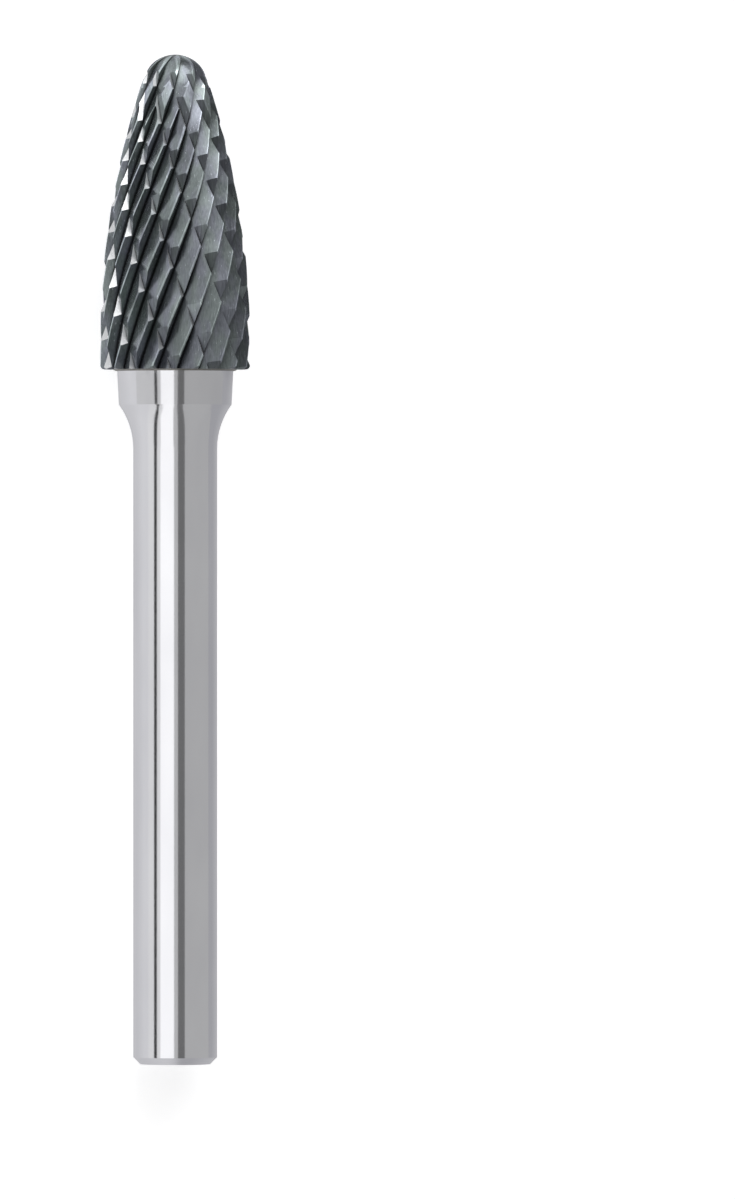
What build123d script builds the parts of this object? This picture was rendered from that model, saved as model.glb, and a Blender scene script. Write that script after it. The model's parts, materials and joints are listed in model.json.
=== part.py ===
"""A double-cut carbide burr with a round-nosed tree head, lying on a level floor.

Three solids are made about the burr's own axis, +Z from the shank to the tip, with the
origin at the centre of the head's back face. A bearing is measured about that axis in
degrees: bearing 0 is the upper side, and bearings grow to the right when the burr is seen
from above with its tip away from the viewer. At the end the burr is laid along +Y, where it
rests on two tooth crests and on the end of its shank.
"""

import os
from collections import namedtuple
from math import atan2, cos, degrees, exp, hypot, pi, radians, sin, tan

from build123d import *

# ---- sizes in mm and degrees -----------------------------------------------------------

# cutting head, over the tooth crests
HEAD_DIAMETER = 10.7
HEAD_LENGTH = 22.5
STRAIGHT_LENGTH = 2.0  # cylindrical part next to the back face
TIP_RADIUS = 2.4
HEAD_CORNER_RADIUS = 0.3

# right-hand flutes, in pairs of one that reaches the tip and one that stops short of it
FLUTE_PAIRS = 10
FLUTE_HELIX = 22.9  # where the head is widest, as are the depth and the shares
FLUTE_DEPTH = 0.72
FLUTE_RAKE_SHARE = 0.12  # part of the pitch taken by the steep cutting face
FLUTE_BACK_SHARE = 0.82  # part of the pitch taken by the sloping back of the next tooth
FLUTE_BEARING = 2.9  # root of one long flute at the back face
SHORT_FLUTE_STOP = 4.4  # distance from the pole of the tip, along the outline
SHORT_FLUTE_LIFT = 1.5  # rise of the grinding path at the stop
SHORT_FLUTE_RUNOUT = 0.8  # length over which that rise dies away
FLUTE_WIDENING = 0.35  # length in which a long flute takes over the width of a short one

# left-hand chip-breaking grooves across the flutes
CROSS_COUNT = 11
CROSS_HELIX = 21.4  # where the head is widest, as are the depth and the widths
CROSS_DEPTH = 0.52
CROSS_STEEP_WIDTH = 0.3
CROSS_GENTLE_WIDTH = 1.02
CROSS_BEARING = -2.9  # root of one groove at the back face
CROSS_STOP = 1.6  # distance from the pole of the tip, along the outline
CROSS_LIFT = 1.2  # rise of the grinding path at the stop
CROSS_RUNOUT = 0.4  # length over which that rise dies away

# every groove turns faster as the head narrows, by this power of the radius
TURN_POWER = 0.6

# silver-braze layer between the head and the shank, with a coved edge
BRAZE_THICKNESS = 0.12
BRAZE_FOOT = 0.3  # how far the cove spreads over the head's back face
BRAZE_COVE = 0.03  # hollow of the cove

# steel shank with its turned neck
NECK_FRONT_DIAMETER = 8.3
NECK_BACK_DIAMETER = 8.06
NECK_LENGTH = 2.4
FLARE_LENGTH = 3.15  # concave run from the neck down to the plain shank
SHANK_DIAMETER = 6.0
SHANK_LENGTH = 49.5  # whole steel piece
SHANK_CHAMFER = 0.5

# rolling of the laid burr, from bearing 0 up, until it lies in the deepest seat within reach
ROLL_REACH = 15.0
ROLL_STEP = 0.1

# grinding path of a groove
PATH_LEAD_IN = 0.6  # length before the back face
POLE_GAP = 0.35  # distance from the pole of the tip at which the long flutes end
PATH_STATIONS = 12
TURN_STEPS = 40  # parts in which the turn along the path is summed
CUTTER_REACH = 2.0  # height of a cutter over the depth of its groove

# ---- sizes that follow from those above ------------------------------------------------

head_radius = HEAD_DIAMETER / 2
shank_radius = SHANK_DIAMETER / 2
neck_front_radius = NECK_FRONT_DIAMETER / 2
neck_back_radius = NECK_BACK_DIAMETER / 2
flute_pitch = 180 / FLUTE_PAIRS

# the side arc leaves the straight part without a break and runs tangent into the tip
tip_centre = HEAD_LENGTH - TIP_RADIUS
side_height = tip_centre - STRAIGHT_LENGTH
side_radius = (head_radius**2 + side_height**2 - TIP_RADIUS**2) / (head_radius - TIP_RADIUS) / 2
side_centre = head_radius - side_radius
side_lean = atan2(side_height, -side_centre)
side_end = STRAIGHT_LENGTH + side_radius * side_lean
pole = side_end + TIP_RADIUS * (pi / 2 - side_lean)

Groove = namedtuple("Groove", "helix depth steep gentle stop lift runout widening")


def outline(run):
    """Radius, height and lean of the head's outline, at a distance along it from the back face.

    The lean is the angle by which the outward normal tips toward the tip of the burr.
    """
    if run < STRAIGHT_LENGTH:
        return head_radius, run, 0.0
    if run < side_end:
        lean = (run - STRAIGHT_LENGTH) / side_radius
        return side_centre + side_radius * cos(lean), STRAIGHT_LENGTH + side_radius * sin(lean), lean
    lean = side_lean + (run - side_end) / TIP_RADIUS
    return TIP_RADIUS * cos(lean), tip_centre + TIP_RADIUS * sin(lean), lean


def outline_point(run):
    """The outline's point in the plane it is drawn in."""
    radius, height, _ = outline(run)
    return radius, height


def surface_point(run, bearing, lift):
    """Point over the head's surface by lift, or under it where lift is negative."""
    radius, height, lean = outline(run)
    out = radius + lift * cos(lean)
    turn = radians(bearing)
    return Vector(out * sin(turn), -out * cos(turn), height + lift * sin(lean))


def turn(helix, run):
    """Angle by which a groove has turned about the axis between the back face and run."""
    step = run / TURN_STEPS
    middles = [outline((index + 1 / 2) * step)[0] for index in range(TURN_STEPS)]
    climb = sum((head_radius / radius) ** TURN_POWER for radius in middles) * step
    return degrees(tan(radians(helix)) / head_radius * climb)


def groove_cutter(groove, bearing):
    """Solid swept by the V-shaped edge of the grinding wheel along one groove.

    The root of the V follows a helix over the head; its steep wall is on the side of falling
    bearings and its gentle wall on the side of growing ones. Depth and widths shrink with the
    head's radius.
    """
    step = (groove.stop + PATH_LEAD_IN) / (PATH_STATIONS - 1)
    sections = []
    for station in range(PATH_STATIONS):
        run = station * step - PATH_LEAD_IN
        radius = outline(run)[0]
        scale = radius / head_radius
        lift = groove.lift * scale * exp((run - groove.stop) / groove.runout)
        gentle = groove.gentle * groove.widening(run)
        here = bearing + turn(groove.helix, run)
        root = surface_point(run, here, lift - groove.depth * scale)
        steep_crest = surface_point(run, here - groove.steep, lift)
        gentle_crest = surface_point(run, here + gentle, lift)
        steep_end = root + (steep_crest - root) * CUTTER_REACH
        gentle_end = root + (gentle_crest - root) * CUTTER_REACH
        sections.append(Wire.make_polygon([root, steep_end, gentle_end], close=True))
    return Solid.make_loft(sections)


def round_about(cutter, count):
    """Copies of a cutter evenly spaced about the burr's axis."""
    return [cutter.rotate(Axis.Z, 360 / count * index) for index in range(count)]


def constant_width(run):
    """Widening of a groove that keeps its share of the pitch."""
    return 1.0


def doubled_past_short_flutes(run):
    """Widening of a long flute, which takes over the width of its neighbour past its stop."""
    return 1 + 1 / (1 + exp((short_stop - run) / FLUTE_WIDENING))


# ---- cutting head ----------------------------------------------------------------------

side_middle = (STRAIGHT_LENGTH + side_end) / 2
tip_middle = (side_end + pole) / 2
with BuildPart() as head_blank:
    with BuildSketch(Plane.XZ):
        with BuildLine():
            Polyline((0, HEAD_LENGTH), (0, 0), (head_radius, 0), (head_radius, STRAIGHT_LENGTH))
            ThreePointArc(
                outline_point(STRAIGHT_LENGTH), outline_point(side_middle), outline_point(side_end)
            )
            ThreePointArc(outline_point(side_end), outline_point(tip_middle), (0, HEAD_LENGTH))
        make_face()
    revolve(axis=Axis.Z)
    fillet(head_blank.edges().group_by(Axis.Z)[0], HEAD_CORNER_RADIUS)

short_stop = pole - SHORT_FLUTE_STOP
flute_rake = FLUTE_RAKE_SHARE * flute_pitch
flute_back = FLUTE_BACK_SHARE * flute_pitch
long_flute = Groove(
    helix=FLUTE_HELIX,
    depth=FLUTE_DEPTH,
    steep=flute_rake,
    gentle=flute_back,
    stop=pole - POLE_GAP,
    lift=0,
    runout=1,
    widening=doubled_past_short_flutes,
)
short_flute = Groove(
    helix=FLUTE_HELIX,
    depth=FLUTE_DEPTH,
    steep=flute_rake,
    gentle=flute_back,
    stop=short_stop,
    lift=SHORT_FLUTE_LIFT,
    runout=SHORT_FLUTE_RUNOUT,
    widening=constant_width,
)
cross_groove = Groove(
    helix=-CROSS_HELIX,
    depth=CROSS_DEPTH,
    steep=degrees(CROSS_STEEP_WIDTH / head_radius),
    gentle=degrees(CROSS_GENTLE_WIDTH / head_radius),
    stop=pole - CROSS_STOP,
    lift=CROSS_LIFT,
    runout=CROSS_RUNOUT,
    widening=constant_width,
)

long_cutter = groove_cutter(long_flute, FLUTE_BEARING)
short_cutter = groove_cutter(short_flute, FLUTE_BEARING + flute_pitch)
cross_cutter = groove_cutter(cross_groove, CROSS_BEARING)
cutting_head = head_blank.part - round_about(long_cutter, FLUTE_PAIRS)
cutting_head -= round_about(short_cutter, FLUTE_PAIRS)
cutting_head -= round_about(cross_cutter, CROSS_COUNT)

# ---- braze layer -----------------------------------------------------------------------

foot_radius = neck_front_radius + BRAZE_FOOT
with BuildPart() as braze:
    with BuildSketch(Plane.XZ):
        with BuildLine():
            Polyline(
                (neck_front_radius, -BRAZE_THICKNESS), (0, -BRAZE_THICKNESS), (0, 0), (foot_radius, 0)
            )
            SagittaArc((foot_radius, 0), (neck_front_radius, -BRAZE_THICKNESS), BRAZE_COVE)
        make_face()
    revolve(axis=Axis.Z)
braze_joint = braze.part

# ---- shank -----------------------------------------------------------------------------

neck_top = -BRAZE_THICKNESS
neck_bottom = neck_top - NECK_LENGTH
plain_top = neck_bottom - FLARE_LENGTH
shank_bottom = neck_top - SHANK_LENGTH
with BuildPart() as steel:
    with BuildSketch(Plane.XZ):
        with BuildLine():
            Polyline(
                (shank_radius, plain_top),
                (shank_radius, shank_bottom),
                (0, shank_bottom),
                (0, neck_top),
                (neck_front_radius, neck_top),
                (neck_back_radius, neck_bottom),
            )
            TangentArc((shank_radius, plain_top), (neck_back_radius, neck_bottom), tangent=(0, 1))
        make_face()
    revolve(axis=Axis.Z)
    chamfer(steel.edges().group_by(Axis.Z)[0], SHANK_CHAMFER)
shank = steel.part

# ---- laid on the floor -----------------------------------------------------------------

shank_end = shank_bottom + SHANK_CHAMFER
crest_ends = [
    (hypot(corner.X, corner.Y), atan2(corner.X, -corner.Y), corner.Z)
    for corner in cutting_head.vertices()
]


def slope_rolled(roll):
    """Slope of the axis when the rolled burr touches the floor with its head and its shank's end."""
    lowest = pi - radians(roll)
    return degrees(
        max(
            atan2(radius * cos(bearing - lowest) - shank_radius, height - shank_end)
            for radius, bearing, height in crest_ends
        )
    )


# the axis slopes least, and the burr's weight hangs lowest, between two crests that hold it
roll_steps = round(ROLL_REACH / ROLL_STEP)
rolls = [ROLL_STEP * index for index in range(-roll_steps, roll_steps + 1)]
settled_turn = min(rolls, key=slope_rolled)
slope = slope_rolled(settled_turn)
pieces = {"cutting_head": cutting_head, "shank": shank, "braze_joint": braze_joint}
laid = {
    name: piece.rotate(Axis.Z, settled_turn).rotate(Axis.X, slope - 90)
    for name, piece in pieces.items()
}
box = Compound(list(laid.values())).bounding_box()
centre = box.center()
os.makedirs("parts", exist_ok=True)
for name, piece in laid.items():
    export_step(piece.translate((-centre.X, -centre.Y, -box.min.Z)), f"parts/{name}.step")
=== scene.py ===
import json
from math import asin, cos, pi, radians, sin

import bpy
from mathutils import Matrix, Vector

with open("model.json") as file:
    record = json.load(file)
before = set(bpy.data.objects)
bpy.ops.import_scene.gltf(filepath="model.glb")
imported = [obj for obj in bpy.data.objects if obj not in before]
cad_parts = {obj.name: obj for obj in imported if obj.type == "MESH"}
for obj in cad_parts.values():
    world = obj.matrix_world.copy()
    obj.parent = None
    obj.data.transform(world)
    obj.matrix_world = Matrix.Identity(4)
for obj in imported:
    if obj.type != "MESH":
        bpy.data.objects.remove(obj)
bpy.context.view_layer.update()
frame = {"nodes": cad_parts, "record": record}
scene = bpy.context.scene

# ---- where the burr lies, in metres, and its head's outline in mm --------------------------

MM = 0.001
CREST_RADIUS = 5.35
STRAIGHT_LENGTH = 2.0  # of the head, from its back face to where the side's arc starts
TIP_RADIUS = 2.4
TIP_CENTRE = 20.1  # height of the tip arc's centre over the back face
HEAD_LENGTH = TIP_CENTRE + TIP_RADIUS
ARC_LENGTH = TIP_CENTRE - STRAIGHT_LENGTH
SIDE_RADIUS = (CREST_RADIUS**2 + ARC_LENGTH**2 - TIP_RADIUS**2) / (CREST_RADIUS - TIP_RADIUS) / 2

mount = next(m for m in frame["record"]["mounts"] if m["name"] == "shank")
ON_AXIS = Vector(mount["pos_m"])
ALONG = -Vector(mount["axis"]).normalized()  # toward the tip
SIDE = Vector((1, 0, 0))
UP = SIDE.cross(ALONG).normalized()
SETTLED_TURN = -12.8  # roll at which the burr settles, which the camera turns with

head = frame["nodes"]["cutting_head"]
tip_along = max((v.co - ON_AXIS).dot(ALONG) for v in head.data.vertices)
TIP = ON_AXIS + ALONG * tip_along
HEAD_BACK = TIP - ALONG * HEAD_LENGTH * MM


def around(angle):
    """Direction square to the burr's axis, at an angle from up toward +X."""
    turn = radians(angle)
    return (UP * cos(turn) + SIDE * sin(turn)).normalized()


# ---- camera: looks down on the lying burr, square to its axis -----------------------------

PHOTO_W, PHOTO_H = 735, 1200
MM_PER_PX = 6.0 / 84.0  # the 6 mm shank is 84 pixels wide
AXIS_PX, TIP_PX = 175.2, 54.5
DISTANCE = 1.2
SENSOR = 24
toward_camera = around(SETTLED_TURN)
right = -toward_camera.cross(ALONG)
centre = TIP + (ALONG * (TIP_PX - PHOTO_H / 2) + right * (PHOTO_W / 2 - AXIS_PX)) * MM_PER_PX * MM
cam_data = bpy.data.cameras.new("camera")
cam_data.sensor_fit = "VERTICAL"
cam_data.sensor_height = SENSOR
cam_data.lens = SENSOR * DISTANCE / (PHOTO_H * MM_PER_PX * MM)
cam_data.clip_start = 0.01
cam = bpy.data.objects.new("camera", cam_data)
scene.collection.objects.link(cam)
turned = Matrix((right, ALONG, toward_camera)).transposed()
cam.matrix_world = Matrix.Translation(centre + toward_camera * DISTANCE) @ turned.to_4x4()
scene.camera = cam


# ---- node helpers ------------------------------------------------------------------------


class Nodes:
    """Short way to build the node tree of a material or a world."""

    def __init__(self, name, store=bpy.data.materials, kind="Material"):
        self.material = store.new(name)
        self.material.use_nodes = True
        self.tree = self.material.node_tree
        self.tree.nodes.clear()
        self.out = self.tree.nodes.new("ShaderNodeOutput" + kind)

    def add(self, kind, inputs=None, **props):
        node = self.tree.nodes.new("ShaderNode" + kind)
        for key, value in props.items():
            setattr(node, key, value)
        for key, value in (inputs or {}).items():
            self.feed(node.inputs[key], value)
        return node

    def feed(self, socket, value):
        if isinstance(value, bpy.types.NodeSocket):
            self.tree.links.new(value, socket)
        else:
            socket.default_value = value

    def math(self, operation, *values):
        node = self.add("Math", operation=operation)
        for socket, value in zip(node.inputs, values):
            self.feed(socket, value)
        return node.outputs[0]

    def scaled(self, value, low, high, start, end, how="LINEAR"):
        return self.add(
            "MapRange",
            {"Value": value, "From Min": low, "From Max": high, "To Min": start, "To Max": end},
            interpolation_type=how,
        ).outputs["Result"]

    def smooth(self, value, low, high, start=0.0, end=1.0):
        return self.scaled(value, low, high, start, end, "SMOOTHSTEP")

    def noise(self, vector, scale, detail=3.0, roughness=0.5):
        return self.add(
            "TexNoise",
            {"Vector": vector, "Scale": scale, "Detail": detail, "Roughness": roughness},
        ).outputs["Fac"]

    def ramp(self, fac, stops):
        node = self.add("ValToRGB", {"Fac": fac})
        ramp = node.color_ramp
        while len(ramp.elements) < len(stops):
            ramp.elements.new(0.5)
        for element, (place, colour) in zip(ramp.elements, stops):
            element.position = place
            element.color = (*colour, 1.0)
        return node.outputs["Color"]

    def dots(self, vector, axes):
        values = []
        for axis in axes:
            node = self.add("VectorMath", {0: vector, 1: axis}, operation="DOT_PRODUCT")
            values.append(node.outputs["Value"])
        return values

    def mix(self, factor, first, second, blend="MIX"):
        node = self.add("Mix", data_type="RGBA", blend_type=blend)
        # the colour sockets share their names with the float ones, so they go by number
        for index, value in ((0, factor), (6, first), (7, second)):
            self.feed(node.inputs[index], value)
        return node.outputs[2]

    def bump(self, height, strength, distance):
        inputs = {"Height": height, "Strength": strength, "Distance": distance}
        return self.add("Bump", inputs).outputs["Normal"]

    def surface(self, shader):
        self.tree.links.new(shader, self.out.inputs["Surface"])
        return self.material


def burr_coordinates(nodes):
    """Object position with Y along the burr's axis, in millimetres."""
    place = nodes.add("TexCoord").outputs["Object"]
    tilt = asin(ALONG.z)
    return nodes.add(
        "Mapping",
        {"Vector": place, "Location": ON_AXIS, "Rotation": (tilt, 0, 0), "Scale": (MM, MM, MM)},
        vector_type="TEXTURE",
    ).outputs["Vector"]


def stretched(nodes, vector, scale):
    return nodes.add("VectorMath", {0: vector, 1: scale}, operation="MULTIPLY").outputs["Vector"]


def ground_faces(nodes):
    """Depth in mm under the head's crests, and a mask of the steep walls of the cross grooves."""
    place = nodes.add("SeparateXYZ", {"Vector": burr_coordinates(nodes)})
    x, z = place.outputs["X"], place.outputs["Z"]
    height = nodes.math("SUBTRACT", place.outputs["Y"], (HEAD_BACK - ON_AXIS).dot(ALONG) / MM)
    square = nodes.math("MULTIPLY_ADD", x, x, nodes.math("MULTIPLY", z, z))
    radius = nodes.math("POWER", square, 0.5)

    def under(centre_radius, centre_height, arc_radius):
        out = nodes.math("SUBTRACT", radius, centre_radius)
        along = nodes.math("SUBTRACT", height, centre_height)
        square = nodes.math("MULTIPLY_ADD", out, out, nodes.math("MULTIPLY", along, along))
        return nodes.math("SUBTRACT", arc_radius, nodes.math("POWER", square, 0.5))

    depth = nodes.math("SUBTRACT", CREST_RADIUS, radius)
    for start, arc in (
        (STRAIGHT_LENGTH, (CREST_RADIUS - SIDE_RADIUS, STRAIGHT_LENGTH, SIDE_RADIUS)),
        (TIP_CENTRE, (0.0, TIP_CENTRE, TIP_RADIUS)),
    ):
        past = nodes.math("GREATER_THAN", height, start)
        depth = nodes.add("Mix", {"Factor": past, "A": depth, "B": under(*arc)}).outputs["Result"]

    # the normal's share round the axis and along it tells which wall of a groove a face is
    normal = nodes.add("NewGeometry").outputs["True Normal"]
    across, along, up = nodes.dots(normal, (SIDE, ALONG, UP))
    forth, back = nodes.math("MULTIPLY", across, z), nodes.math("MULTIPLY", up, x)
    turned = nodes.math("SUBTRACT", forth, back)
    steep = nodes.smooth(nodes.math("DIVIDE", turned, radius), 0.5, 0.68)
    raised = nodes.smooth(along, 0.08, 0.22)
    return depth, nodes.math("MULTIPLY", steep, raised)


FLUTE_DEPTH = 0.8


def carbide():
    n = Nodes("ground_carbide")
    place = burr_coordinates(n)
    depth, steep_walls = ground_faces(n)
    streaks = n.noise(stretched(n, place, (9, 0.55, 9)), 1.0, 4.0, 0.6)
    fine = n.noise(stretched(n, place, (30, 2.0, 30)), 1.0, 2.0, 0.5)
    clouds = n.noise(stretched(n, place, (0.5, 0.35, 0.5)), 1.0, 3.0, 0.5)
    mixed = n.math("ADD", n.math("MULTIPLY", streaks, 0.55), n.math("MULTIPLY", clouds, 0.45))
    ground = n.ramp(
        mixed,
        [(0.34, (0.16, 0.17, 0.172)), (0.52, (0.26, 0.272, 0.275)), (0.70, (0.38, 0.39, 0.395))],
    )
    # painted highlight on the crest lands and painted shade in the flute roots, set by the depth
    # under the crests
    greys = ((0.0, 2.6), (0.06, 1.05), (0.5, 1.0), (0.95, 0.7))
    painted_depth_light = n.ramp(n.math("DIVIDE", depth, FLUTE_DEPTH), [(at, (grey,) * 3) for at, grey in greys])
    ground_painted_light = n.mix(1.0, ground, painted_depth_light, "MULTIPLY")
    # thin films that turn the grey greenish or bluish
    films = n.noise(stretched(n, place, (0.9, 0.3, 0.9)), 1.0, 2.0, 0.5)
    tint = n.ramp(films, [(0.4, (0.93, 1.02, 1.0)), (0.6, (0.95, 0.97, 1.09))])
    ground_painted_light = n.mix(1.0, ground_painted_light, tint, "MULTIPLY")
    # painted shade where two walls meet, darkened by ambient occlusion
    corner = n.add("AmbientOcclusion", {"Distance": 0.3 * MM}, samples=8, only_local=True)
    ground_painted_light = n.mix(1.0, ground_painted_light, n.smooth(corner.outputs["AO"], 0.5, 0.95, 0.16, 1.0), "MULTIPLY")
    # the steep walls of the cross grooves get a pale, more reflective colour, raised as a painted
    # highlight so they glint white
    colour = n.mix(steep_walls, ground_painted_light, (0.85, 0.86, 0.87, 1))
    rough = n.scaled(streaks, 0.3, 0.7, 0.16, 0.28)
    height = n.math("ADD", n.math("MULTIPLY", streaks, 0.7), n.math("MULTIPLY", fine, 0.3))
    bump = n.bump(height, 0.35, 0.02 * MM)
    shader = n.add(
        "BsdfPrincipled",
        {"Base Color": colour, "Roughness": rough, "Normal": bump, "Metallic": 0.7},
    )
    return n.surface(shader.outputs["BSDF"])


def steel():
    n = Nodes("steel")
    place = burr_coordinates(n)
    rings = n.noise(stretched(n, place, (0.25, 22, 0.25)), 1.0, 3.0, 0.5)
    clouds = n.noise(stretched(n, place, (0.35, 0.12, 0.35)), 1.0, 2.0, 0.5)
    colour = n.ramp(clouds, [(0.3, (0.84, 0.84, 0.86)), (0.7, (0.9, 0.9, 0.915))])
    rough = n.scaled(rings, 0.3, 0.7, 0.07, 0.13)
    bump = n.bump(rings, 0.12, 0.01 * MM)
    shader = n.add(
        "BsdfPrincipled",
        {"Base Color": colour, "Roughness": rough, "Normal": bump, "Metallic": 1.0},
    )
    return n.surface(shader.outputs["BSDF"])


def braze():
    n = Nodes("braze")
    place = burr_coordinates(n)
    grain = n.noise(stretched(n, place, (6, 6, 6)), 1.0, 3.0, 0.6)
    colour = n.ramp(grain, [(0.3, (0.2, 0.19, 0.17)), (0.7, (0.34, 0.33, 0.3))])
    bump = n.bump(grain, 0.3, 0.02 * MM)
    shader = n.add(
        "BsdfPrincipled",
        {"Base Color": colour, "Roughness": 0.38, "Normal": bump, "Metallic": 0.9},
    )
    return n.surface(shader.outputs["BSDF"])


def dress(name, material):
    mesh = frame["nodes"][name].data
    mesh.materials.clear()
    mesh.materials.append(material)


dress("cutting_head", carbide())
dress("shank", steel())
dress("braze_joint", braze())


# ---- studio: floor, dome and light tent ----------------------------------------------------


def stage_mesh(name, points, faces, material):
    mesh = bpy.data.meshes.new(name)
    mesh.from_pydata(points, [], faces)
    mesh.materials.append(material)
    obj = bpy.data.objects.new(name, mesh)
    scene.collection.objects.link(obj)
    return obj


def pale_floor():
    """White matte floor, which metal mirrors in the greys of the photo's studio."""
    n = Nodes("floor")
    place = n.add("TexCoord").outputs["Object"]
    grain = n.noise(place, 60.0, 3.0, 0.5)
    pale = n.ramp(grain, [(0.3, (0.9, 0.9, 0.9)), (0.7, (0.94, 0.94, 0.94))])
    matte = n.add("BsdfDiffuse", {"Color": pale}).outputs["BSDF"]
    lift = n.add("Emission", {"Color": (1, 1, 1, 1), "Strength": 0.74}).outputs["Emission"]
    seen = n.add("AddShader", {0: matte, 1: lift}).outputs[0]

    side, along = (n.add("SeparateXYZ", {"Vector": place}).outputs[axis] for axis in "XY")
    # in glossy rays the floor shows painted light and shadow: lighter to the left, darker to the
    # right, and beside the head a dark painted shadow to its right
    span = n.smooth(side, -0.02, 0.02)
    by_shank = n.ramp(span, [(0.0, (0.68, 0.68, 0.7)), (1.0, (0.38, 0.38, 0.4))])
    by_head = n.ramp(span, [(0.0, (0.85, 0.85, 0.88)), (1.0, (0.08, 0.08, 0.085))])
    painted_floor_tone = n.mix(n.smooth(along, 0.0115, 0.018), by_shank, by_head)
    painted_floor_reflection = n.add("Emission", {"Color": painted_floor_tone}).outputs["Emission"]

    path = n.add("LightPath").outputs
    other = n.add("MixShader", {0: path["Is Glossy Ray"], 1: matte, 2: painted_floor_reflection}).outputs[0]
    whole = n.add("MixShader", {0: path["Is Camera Ray"], 1: other, 2: seen}).outputs[0]
    return n.surface(whole)


HALF = 3.0
corners = [(-HALF, -HALF, 0), (HALF, -HALF, 0), (HALF, HALF, 0), (-HALF, HALF, 0)]
stage_mesh("floor", corners, [(0, 1, 2, 3)], pale_floor())


def dome():
    """World light by azimuth from the camera's side and lean toward the tip, in degrees."""
    n = Nodes("studio", bpy.data.worlds, "World")
    outside = n.add("TexCoord").outputs["Generated"]
    sideways, tipward, outward = n.dots(outside, (right, ALONG, toward_camera))
    azimuth = n.math("MULTIPLY", n.math("ARCTAN2", sideways, outward), 180 / pi)
    lean = n.math("MULTIPLY", n.math("ARCSINE", tipward), 180 / pi)
    by_lean = n.smooth(lean, 5, 30, 0.15, 0.75)
    by_azimuth = n.smooth(azimuth, -5, 90, 1.05, 0.15)
    glow = n.math("MULTIPLY", by_lean, by_azimuth)
    soft = 6  # half the width of a soft box's blurred edge
    for strength, azimuths, leans in (
        (2.4, (-15, 78), (42, 64)),  # past the tip, for the upper right faces and the glints
        (0.8, (-100, -70), (12, 55)),  # tall, on the left
    ):
        box = strength
        for angle, (low, high) in ((azimuth, azimuths), (lean, leans)):
            box = n.math("MULTIPLY", n.smooth(angle, low - soft, low + soft), box)
            box = n.math("MULTIPLY", n.smooth(angle, high - soft, high + soft, 1.0, 0.0), box)
        glow = n.math("ADD", glow, box)
    shader = n.add("Background", {"Color": (1, 1, 1.01, 1), "Strength": glow})
    return n.surface(shader.outputs["Background"])


scene.world = dome()


def card(name, azimuths, distance, along, brightness):
    """Glowing curved card round the burr's axis, between two angles from the camera's side.

    along gives its two ends along the axis, measured in metres from the head's back face.
    Only what mirrors sees it.
    """
    steps = 8
    points = []
    for index in range(steps + 1):
        angle = SETTLED_TURN + azimuths[0] + (azimuths[1] - azimuths[0]) * index / steps
        for end in along:
            points.append(tuple(HEAD_BACK + around(angle) * distance + ALONG * end))
    faces = [(2 * i, 2 * i + 1, 2 * i + 3, 2 * i + 2) for i in range(steps)]
    n = Nodes(name)
    glow = n.add("Emission", {"Color": (1, 1, 1.012, 1), "Strength": brightness})
    obj = stage_mesh(name, points, faces, n.surface(glow.outputs["Emission"]))
    obj.visible_camera = False
    obj.visible_shadow = False
    obj.visible_diffuse = False


# light tent round the shank: its strips draw the long reflections on the steel, and a near band
# of it holds them closer together where the thicker neck mirrors it
STRIP_EDGES = (-58.5, -50, -40, -2.5, 8, 26.5)
FLOOR_EDGES = (-77, 103)  # where the tent meets the floor
for place, distance, along, closeness, glows in (
    ("shank", 0.07, (-1.6, 0.0015), 1.0, (0.73, 0.05, 0.73, 1.07, 0.5, 0.155, 0.43)),
    ("neck", 0.02, (-0.0046, -0.0010), 0.645, (0.58, 0.05, 0.58, 1.04, 0.45, 0.14, 0.4)),
):
    edges = [FLOOR_EDGES[0], *(angle * closeness for angle in STRIP_EDGES), FLOOR_EDGES[1]]
    for index, glow in enumerate(glows):
        card(f"tent_{place}_{index}", edges[index : index + 2], distance, along, glow)

scene.view_settings.view_transform = "Standard"
